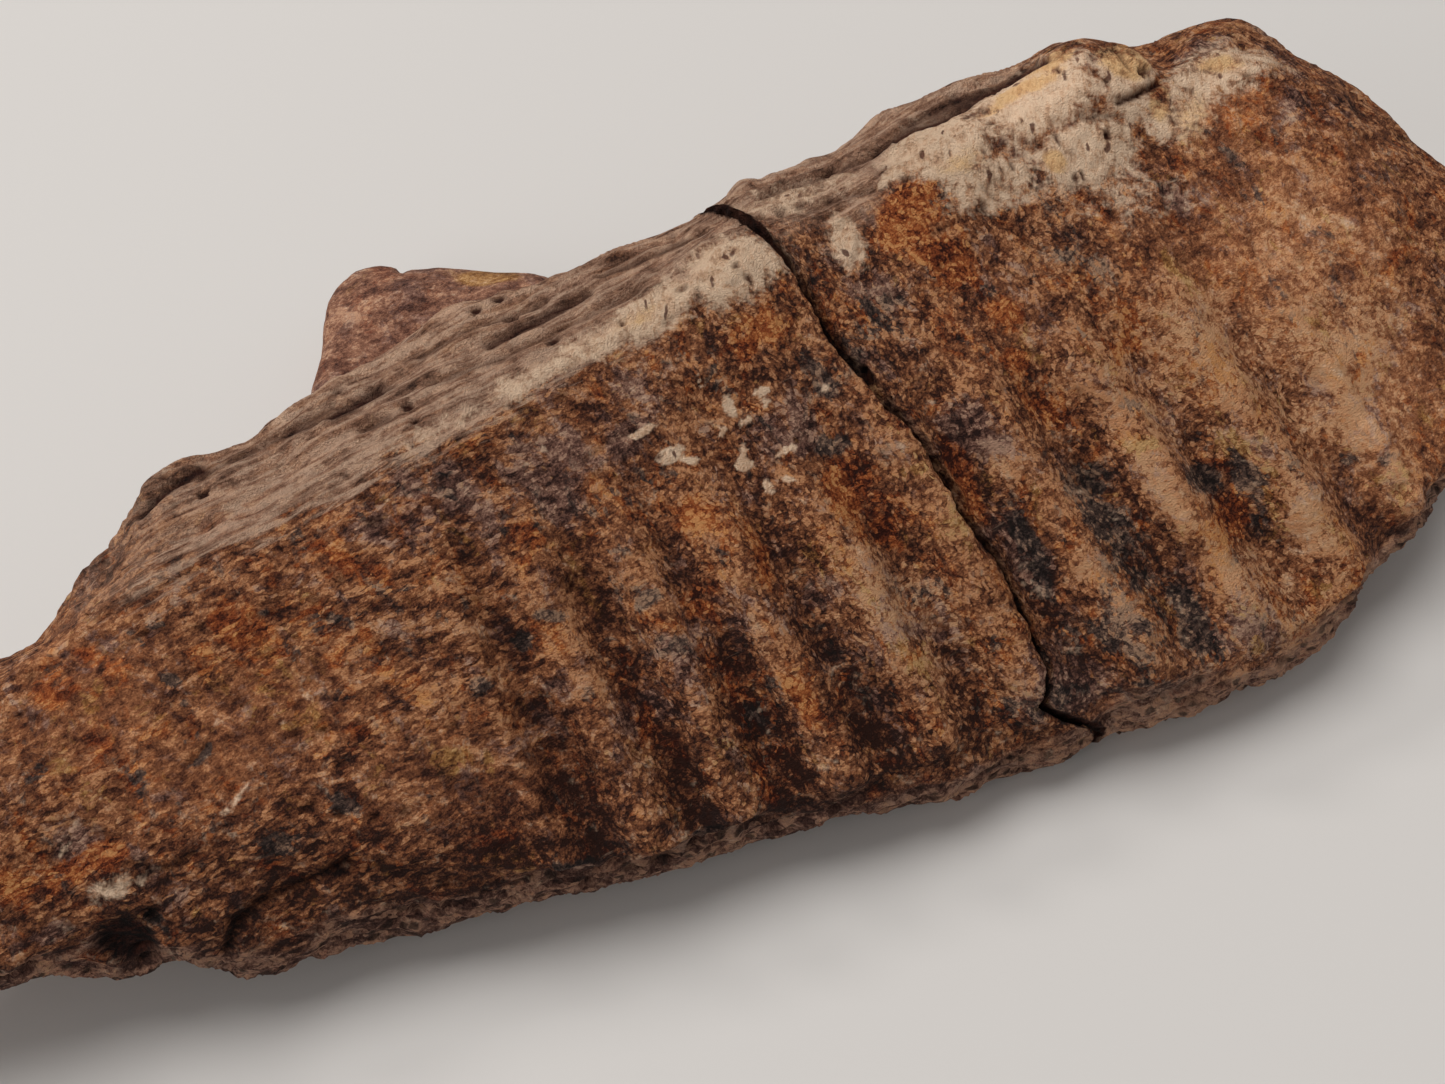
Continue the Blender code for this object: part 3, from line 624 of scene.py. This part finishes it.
def dressed(name, node, longest):
    """The fine surface of one fragment, with its relief and with a named value for each tint."""
    points, triangles = fine_triangles(node, longest * (1.0))
    spots = bone_coordinates(points)
    middle, width = break_line(spots[:, 1], spots[:, 2])
    wall = np.abs(np.abs(spots[:, 0] - middle) - 0.5 * width) < 0.02
    points = smoothed(points, triangles, wall, RELAX_ROUNDS, RELAX_REACH)
    spots = bone_coordinates(points)
    normals = point_normals(points, triangles)

    zones = surface_zones(spots, normals)
    warp = np.stack([noise(spots, 5.0, 40 + k) for k in range(3)], axis=1)
    warped = spots + 0.8 * warp
    tints = {key: stain(warped, key) for key in STAINS}
    height, recess_shade, light = relief(spots, zones, tints, warp, warped)
    height *= np.where(wall, 0.3, 1.0) * smooth_step(0.0, 2.6, points[:, 2])
    points = points + normals * height[:, None]
    points[:, 0] += torn_edge(spots, middle)
    points = without_spikes(points, triangles, SPIKE)
    points[:, 2] = np.maximum(points[:, 2], 0.0)

    started = smooth_step(*STRIP_START, spots[:, 0])
    values = {
        # The break's wall is painted darker the deeper it goes, as painted shade.
        "recess_shade": np.maximum(recess_shade, np.where(wall, smooth_step(0.2, 1.2, spots[:, 2]), 0.0)),
        "ribbed": zones["ribbed"],
        "strip": zones["strip"] * started,
        "band": zones["band"],
        "flange": zones["flange"],
        "ribs": 0.5 + 0.5 * zones["ribs"],
        "crest": zones["crest"] * started,
        "low": zones["low"],
        "relief": light,
        **tints,
    }
    mesh = bpy.data.meshes.new(name)
    mesh.from_pydata((points * MM).tolist(), [], triangles.tolist())
    mesh.update()
    for key, value in values.items():
        mesh.attributes.new(key, "FLOAT", "POINT").data.foreach_set("value", value.astype(np.float32))
    bone = mesh.attributes.new("bone", "FLOAT_VECTOR", "POINT")
    bone.data.foreach_set("vector", spots.astype(np.float32).ravel())
    mesh.shade_smooth()
    piece = bpy.data.objects.new(name, mesh)
    bpy.context.scene.collection.objects.link(piece)
    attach(piece, "root")
    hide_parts(node.name)
    return piece


class Graph:
    """Builds a material's nodes by short calls. A value is a number, a colour or a node's output."""

    def __init__(self, name):
        self.material = bpy.data.materials.new(name)
        self.material.use_nodes = True
        self.tree = self.material.node_tree
        self.shader = self.tree.nodes["Principled BSDF"]

    def feed(self, socket, value):
        if isinstance(value, bpy.types.NodeSocket):
            self.tree.links.new(value, socket)
        elif isinstance(value, tuple) and socket.type == "RGBA":
            socket.default_value = (*value, 1.0)
        else:
            socket.default_value = value

    def attribute(self, name, output="Fac"):
        node = self.tree.nodes.new("ShaderNodeAttribute")
        node.attribute_name = name
        return node.outputs[output]

    def math(self, operation, one, two):
        node = self.tree.nodes.new("ShaderNodeMath")
        node.operation = operation
        self.feed(node.inputs[0], one)
        self.feed(node.inputs[1], two)
        return node.outputs[0]

    def total(self, *terms):
        """The sum of values, each given alone or as (value, weight)."""
        out = None
        for term in terms:
            value = self.math("MULTIPLY", *term) if isinstance(term, tuple) else term
            out = value if out is None else self.math("ADD", out, value)
        return out

    def step(self, value, low, high):
        node = self.tree.nodes.new("ShaderNodeMapRange")
        node.interpolation_type = "SMOOTHSTEP"
        self.feed(node.inputs["Value"], value)
        self.feed(node.inputs["From Min"], low)
        self.feed(node.inputs["From Max"], high)
        return node.outputs["Result"]

    def placed(self, vector, turn, scale, shift=0.0):
        """The vector in a frame turned by degrees, then scaled. A small scale draws out that way."""
        node = self.tree.nodes.new("ShaderNodeMapping")
        node.vector_type = "TEXTURE"
        self.feed(node.inputs["Vector"], vector)
        node.inputs["Location"].default_value = (shift, shift, shift)
        node.inputs["Rotation"].default_value = (0.0, 0.0, math.radians(turn))
        node.inputs["Scale"].default_value = tuple(1.0 / size for size in scale)
        return node.outputs["Vector"]

    def noise(self, vector, detail, roughness=0.6, distortion=0.0):
        node = self.tree.nodes.new("ShaderNodeTexNoise")
        self.feed(node.inputs["Vector"], vector)
        node.inputs["Scale"].default_value = 1.0
        node.inputs["Detail"].default_value = detail
        node.inputs["Roughness"].default_value = roughness
        node.inputs["Distortion"].default_value = distortion
        return node.outputs["Fac"]

    def shaken(self, vector, scale, reach):
        """The vector moved about by noise, so that cells lose their straight sides."""
        node = self.tree.nodes.new("ShaderNodeTexNoise")
        self.feed(node.inputs["Vector"], vector)
        node.inputs["Scale"].default_value = scale
        node.inputs["Detail"].default_value = 1.0
        moved = self.tree.nodes.new("ShaderNodeVectorMath")
        moved.operation = "MULTIPLY_ADD"
        self.feed(moved.inputs[0], node.outputs["Color"])
        moved.inputs[1].default_value = (reach, reach, reach)
        self.feed(moved.inputs[2], vector)
        return moved.outputs["Vector"]

    def cells(self, vector):
        """Distance to the nearest cell centre, and two random numbers of that cell."""
        node = self.tree.nodes.new("ShaderNodeTexVoronoi")
        self.feed(node.inputs["Vector"], vector)
        node.inputs["Scale"].default_value = 1.0
        parted = self.tree.nodes.new("ShaderNodeSeparateColor")
        self.feed(parted.inputs[0], node.outputs["Color"])
        return node.outputs["Distance"], parted.outputs[0], parted.outputs[1]

    def mix(self, share, one, two, blend="MIX"):
        node = self.tree.nodes.new("ShaderNodeMix")
        node.data_type = "RGBA"
        node.blend_type = blend
        self.feed(node.inputs["Factor"], share)
        colours = [socket for socket in node.inputs if socket.type == "RGBA"]
        self.feed(colours[0], one)
        self.feed(colours[1], two)
        return next(socket for socket in node.outputs if socket.type == "RGBA")

    def blend(self, share, one, two):
        """A number between two numbers."""
        node = self.tree.nodes.new("ShaderNodeMix")
        self.feed(node.inputs["Factor"], share)
        ends = [socket for socket in node.inputs if socket.name in ("A", "B")]
        numbers = [socket for socket in ends if socket.type == "VALUE"]
        self.feed(numbers[0], one)
        self.feed(numbers[1], two)
        return next(socket for socket in node.outputs if socket.type == "VALUE")

    def ramp(self, value, *stops):
        node = self.tree.nodes.new("ShaderNodeValToRGB")
        self.feed(node.inputs["Fac"], value)
        elements = node.color_ramp.elements
        while len(elements) < len(stops):
            elements.new(0.5)
        for element, (place, colour) in zip(elements, stops):
            element.position = place
            element.color = (*colour, 1.0)
        return node.outputs["Color"]


# Colours of each mineral tint, from its dark gaps to its bright grains, at these levels.
TONES = (0.08, 0.28, 0.5, 0.72, 0.95)
BROWN = (
    (0.03, 0.008, 0.004), (0.094, 0.028, 0.013), (0.215, 0.074, 0.031),
    (0.39, 0.15, 0.063), (0.68, 0.32, 0.15),
)
SANDY = (
    (0.05, 0.016, 0.007), (0.15, 0.051, 0.022), (0.32, 0.122, 0.053),
    (0.5, 0.225, 0.107), (0.75, 0.42, 0.225),
)
TAN = (
    (0.05, 0.023, 0.015), (0.15, 0.074, 0.045), (0.32, 0.172, 0.11),
    (0.5, 0.295, 0.195), (0.72, 0.48, 0.34),
)
RUSTY = (
    (0.04, 0.006, 0.002), (0.15, 0.027, 0.007), (0.33, 0.074, 0.018),
    (0.53, 0.16, 0.043), (0.75, 0.34, 0.12),
)
GOLDEN = (
    (0.035, 0.011, 0.003), (0.13, 0.046, 0.012), (0.31, 0.135, 0.038),
    (0.5, 0.25, 0.08), (0.72, 0.43, 0.18),
)
SLATY = (
    (0.011, 0.007, 0.006), (0.03, 0.02, 0.018), (0.075, 0.05, 0.042),
    (0.16, 0.1, 0.075), (0.42, 0.26, 0.17),
)
PLUMMY = (
    (0.026, 0.01, 0.008), (0.075, 0.031, 0.023), (0.17, 0.08, 0.059),
    (0.31, 0.165, 0.12), (0.56, 0.34, 0.24),
)


PIT_SHADE = (0.03, 0.015, 0.011)
RED_SLIT_SHADE = (0.1, 0.026, 0.017)
HONEY = (0.98, 0.86, 0.62)
HOLLOW_SHADE = (0.1, 0.045, 0.035)
BLEACHED = (
    (0.15, (0.36, 0.18, 0.105)),
    (0.4, (0.65, 0.395, 0.25)),
    (0.6, (0.84, 0.54, 0.345)),
    (0.85, (0.97, 0.7, 0.49)),
)


def toned(graph, level, colours):
    return graph.ramp(level, *zip(TONES, colours))


class BoneNoise:
    """The noises that the bone's material is built from, in the bone coordinates."""

    def __init__(self, graph):
        place = graph.attribute("bone", "Vector")
        self.ragged = graph.noise(graph.placed(place, 15.0, (1.2, 1.5, 1.5), 20.0), 2.0, 0.72, 0.4)
        self.other = graph.noise(graph.placed(place, -25.0, (0.8, 1.1, 1.1), 31.0), 2.0, 0.72, 0.4)
        self.patches = graph.noise(graph.placed(place, -30.0, (0.3, 0.42, 0.42), 3.0), 3.0, 0.6, 0.4)
        self.grit = graph.noise(graph.placed(place, 20.0, (4.4, 5.2, 5.2), 7.0), 2.0, 0.75)
        self.streaks = graph.noise(graph.placed(place, 9.0, (0.15, 1.5, 1.5), 13.0), 3.0, 0.65, 0.4)

        # Broad drifts of colour with ragged edges.
        self.warm = graph.noise(graph.placed(place, 104.0, (0.15, 0.26, 0.26), 52.0), 4.0, 0.68, 0.6)
        self.cool = graph.noise(graph.placed(place, 104.0, (0.18, 0.34, 0.34), 74.0), 4.0, 0.68, 0.6)

        # Fibres run along the jaw on its smooth stretches. Between the ribs they break up into granules.
        self.flowing = graph.shaken(place, 0.28, 1.4)
        self.shaken = graph.shaken(self.flowing, 1.1, 0.6)
        ribbed = graph.attribute("ribbed")
        flakes = graph.cells(graph.placed(self.shaken, 9.0, (0.8, 2.6, 2.6)))
        granules = graph.cells(graph.placed(self.shaken, 104.0, (2.0, 2.9, 2.9)))
        self.away, self.tone, self.hue = (graph.blend(ribbed, *pair) for pair in zip(flakes, granules))


def stained(graph, bone, level):
    """The brown bone with its tints, which come as ragged patches and single grains.

    Noise and each grain's own number decide where, and the surface's named values say how strongly.
    """
    colour = toned(graph, level, BROWN)
    for key, colours, where, low, high in (
        ("sand", SANDY, graph.total((bone.other, 1.2), (bone.tone, 0.2)), 0.8, 1.2),
        ("plum", PLUMMY, graph.total((bone.warm, -1.6), (bone.hue, 0.24), 1.6), 1.02, 1.24),
        ("ochre", GOLDEN, graph.total((bone.cool, 1.6), (bone.hue, 0.24)), 1.08, 1.3),
        ("rust", RUSTY, graph.total((bone.warm, 1.6), (bone.hue, 0.24)), 1.0, 1.24),
        ("slate", SLATY, graph.total((bone.cool, -1.6), (bone.hue, -0.24), 1.84), 1.08, 1.3),
    ):
        share = graph.step(graph.total((graph.attribute(key), 0.45), where), low, high)
        colour = graph.mix(graph.math("MULTIPLY", share, 0.9), colour, toned(graph, level, colours))
    return colour


def bleached(graph, bone, colour):
    """Adds the pale spongy bone: hair-like light threads, honey patches and dark red slits, red in their
    own colour and darkened by painted shade.
    """
    hairs = graph.noise(graph.placed(bone.flowing, 72.0, (0.5, 2.4, 2.4), 5.0), 3.0, 0.6, 0.8)
    lace = graph.total((hairs, 1.2), (bone.other, 0.9), (bone.patches, 0.8), (bone.grit, 0.5), -0.94)
    honey = graph.step(graph.total(graph.attribute("honey"), (bone.other, 0.8), -0.4), 0.25, 0.75)
    light = graph.mix(honey, graph.ramp(lace, *BLEACHED), HONEY, "MULTIPLY")
    # The open slits are painted dark red: their own red, with painted shade in them.
    slit = graph.cells(graph.placed(bone.shaken, 74.0, (0.42, 1.1, 1.1), 3.0))
    opened = graph.math("MULTIPLY", graph.step(slit[0], 0.34, 0.2), graph.step(slit[1], 0.76, 0.8))
    opened = graph.math("MULTIPLY", opened, graph.blend(honey, 0.85, 0.0))
    light = graph.mix(opened, light, RED_SLIT_SHADE)
    edge = graph.total(graph.attribute("pale"), (hairs, 0.6), (bone.patches, 1.2), (bone.other, 1.3))
    edge = graph.total(edge, (graph.attribute("rust"), -0.8), -1.64)
    return graph.mix(graph.step(edge, 0.05, 0.8), colour, light)


def fossil_material(name):
    """Mineral-filled bone: brown fibres and granules, tinted in patches by the surface's named values."""
    graph = Graph(name)
    bone = BoneNoise(graph)
    flange, strip, crest, band = (graph.attribute(key) for key in ("flange", "strip", "crest", "band"))
    even = graph.math("MAXIMUM", flange, graph.attribute("calm"))

    # The gaps between flakes and granules are painted darker, as painted shade; each grain's own tone
    # varies.
    gap_shade = graph.step(bone.away, 0.48, 0.72)
    bright = graph.math("POWER", bone.tone, 3.0)
    grained = graph.total((bright, 0.26), (bone.tone, 0.34), (gap_shade, -0.16), -0.2)
    varied = graph.total(
        (bone.grit, 1.0),
        (bone.ragged, 1.3),
        (bone.patches, 1.6),
        # The relief value paints raised fibres and grains lighter and their low parts darker, as painted
        # light and shade.
        (graph.attribute("relief"), 0.45),
        -2.12,
    )
    level = graph.total(
        graph.math("MULTIPLY", grained, graph.blend(even, 1.0, 0.25)),
        graph.math("MULTIPLY", varied, graph.blend(even, 1.0, 0.75)),
        # Rib crests are painted lighter and the valleys between them darker, as painted light and shade.
        (graph.attribute("ribs"), 0.4),
        (graph.attribute("sand"), 0.37),
        (graph.attribute("low"), -0.26),
        0.34,
    )
    colour = stained(graph, bone, level)

    # The strip behind the ridge is streaked tan, and so is the ridge itself in places.
    streaked = graph.total((bone.streaks, 2.2), (varied, 0.5), (crest, 0.1), -0.42)
    on_crest = graph.step(graph.total(crest, (bone.streaks, 1.6), -0.8), 0.25, 0.75)
    shared = graph.math("MAXIMUM", strip, on_crest)
    colour = graph.mix(graph.math("MULTIPLY", shared, 0.8), colour, toned(graph, streaked, TAN))

    # The lower band and the coronoid process are duller, and the process has a golden patch.
    dull = graph.math("MULTIPLY", graph.math("MAXIMUM", band, flange), 0.6)
    colour = graph.mix(dull, colour, toned(graph, graph.total(level, (band, 0.4)), PLUMMY))
    ochre = graph.math("MULTIPLY", flange, graph.attribute("ochre"))
    golden = graph.step(graph.total(ochre, (bone.other, 0.6), -0.3), 0.3, 0.9)
    colour = graph.mix(graph.math("MULTIPLY", golden, 0.8), colour, toned(graph, level, GOLDEN))

    # The lower band is open like a honeycomb, and its pits are painted near black as painted shade.
    comb = graph.cells(graph.placed(bone.shaken, 12.0, (0.5, 0.85, 0.85), 6.0))
    shaded_pits = graph.math("MULTIPLY", graph.step(comb[0], 0.42, 0.24), graph.step(comb[1], 0.25, 0.35))
    colour = graph.mix(graph.math("MULTIPLY", graph.math("MULTIPLY", shaded_pits, band), 0.8), colour, PIT_SHADE)

    colour = bleached(graph, bone, colour)
    # Hollows and the break's wall are darkened towards HOLLOW_SHADE, as painted shade.
    shade = graph.ramp(graph.attribute("recess_shade"), (0.0, (1.0, 1.0, 1.0)), (1.0, HOLLOW_SHADE))
    graph.feed(graph.shader.inputs["Base Color"], graph.mix(1.0, colour, shade, "MULTIPLY"))
    graph.feed(graph.shader.inputs["Roughness"], graph.blend(graph.step(bone.grit, 0.35, 0.7), 0.92, 0.7))
    graph.shader.inputs["Specular IOR Level"].default_value = 0.22

    bump = graph.tree.nodes.new("ShaderNodeBump")
    bump.inputs["Strength"].default_value = 1.0
    bump.inputs["Distance"].default_value = 0.55 * MM
    raised = graph.math("MULTIPLY", bone.grit, 1.2)
    graph.feed(bump.inputs["Height"], graph.math("MULTIPLY", raised, graph.blend(even, 1.0, 0.4)))
    graph.feed(graph.shader.inputs["Normal"], bump.outputs["Normal"])
    return graph.material


def floor():
    mesh = bpy.data.meshes.new("floor")
    sheet = bmesh.new()
    bmesh.ops.create_grid(sheet, x_segments=1, y_segments=1, size=2.0)
    sheet.to_mesh(mesh)
    sheet.free()
    plane = bpy.data.objects.new("floor", mesh)
    bpy.context.scene.collection.objects.link(plane)
    graph = Graph("floor_white")
    graph.shader.inputs["Base Color"].default_value = (0.74, 0.72, 0.7, 1.0)
    graph.shader.inputs["Roughness"].default_value = 0.7
    graph.shader.inputs["Specular IOR Level"].default_value = 0.2
    mesh.materials.append(graph.material)


def area_light(name, place, size, power, colour):
    light = bpy.data.lights.new(name, "AREA")
    light.shape = "DISK"
    light.size = size
    light.energy = power
    light.color = colour
    lamp = bpy.data.objects.new(name, light)
    lamp.location = place
    lamp.rotation_euler = (-Vector(place)).to_track_quat("-Z", "Y").to_euler()
    bpy.context.scene.collection.objects.link(lamp)


def lights():
    world = bpy.data.worlds.new("room")
    world.use_nodes = True
    world.node_tree.nodes["Background"].inputs["Color"].default_value = (1.0, 0.98, 0.96, 1.0)
    world.node_tree.nodes["Background"].inputs["Strength"].default_value = 0.24
    bpy.context.scene.world = world
    area_light("ceiling", (-0.1, 0.3, 1.3), 0.9, 9.9, (1.0, 0.975, 0.95))
    area_light("room_side", (-1.0, -0.45, 0.65), 0.7, 1.5, (1.0, 0.975, 0.95))
    area_light("far_lamp", (-0.7, 0.65, 0.8), 0.25, 2.6, (1.0, 0.965, 0.93))


def camera():
    data = bpy.data.cameras.new("photo_view")
    data.sensor_width = SENSOR_WIDTH
    data.lens = CAMERA_LENS
    data.clip_start = 0.005
    seen_from = bpy.data.objects.new("photo_view", data)
    turn = Matrix((CAMERA_RIGHT, CAMERA_UP, CAMERA_BACK)).transposed().to_4x4()
    seen_from.matrix_world = Matrix.Translation(EYE * MM) @ turn
    bpy.context.scene.collection.objects.link(seen_from)
    bpy.context.scene.camera = seen_from


bpy.context.scene.view_settings.view_transform = "Standard"
camera()
lights()
floor()
tapered_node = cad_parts["tapered_fragment"]
tapered = dressed("tapered_bone", tapered_node, TAPERED_EDGE)
tapered.data.materials.append(fossil_material("fossil_bone_tapered"))
rounded_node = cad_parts["rounded_fragment"]
rounded = dressed("rounded_bone", rounded_node, ROUNDED_EDGE)
rounded.data.materials.append(fossil_material("fossil_bone_rounded"))
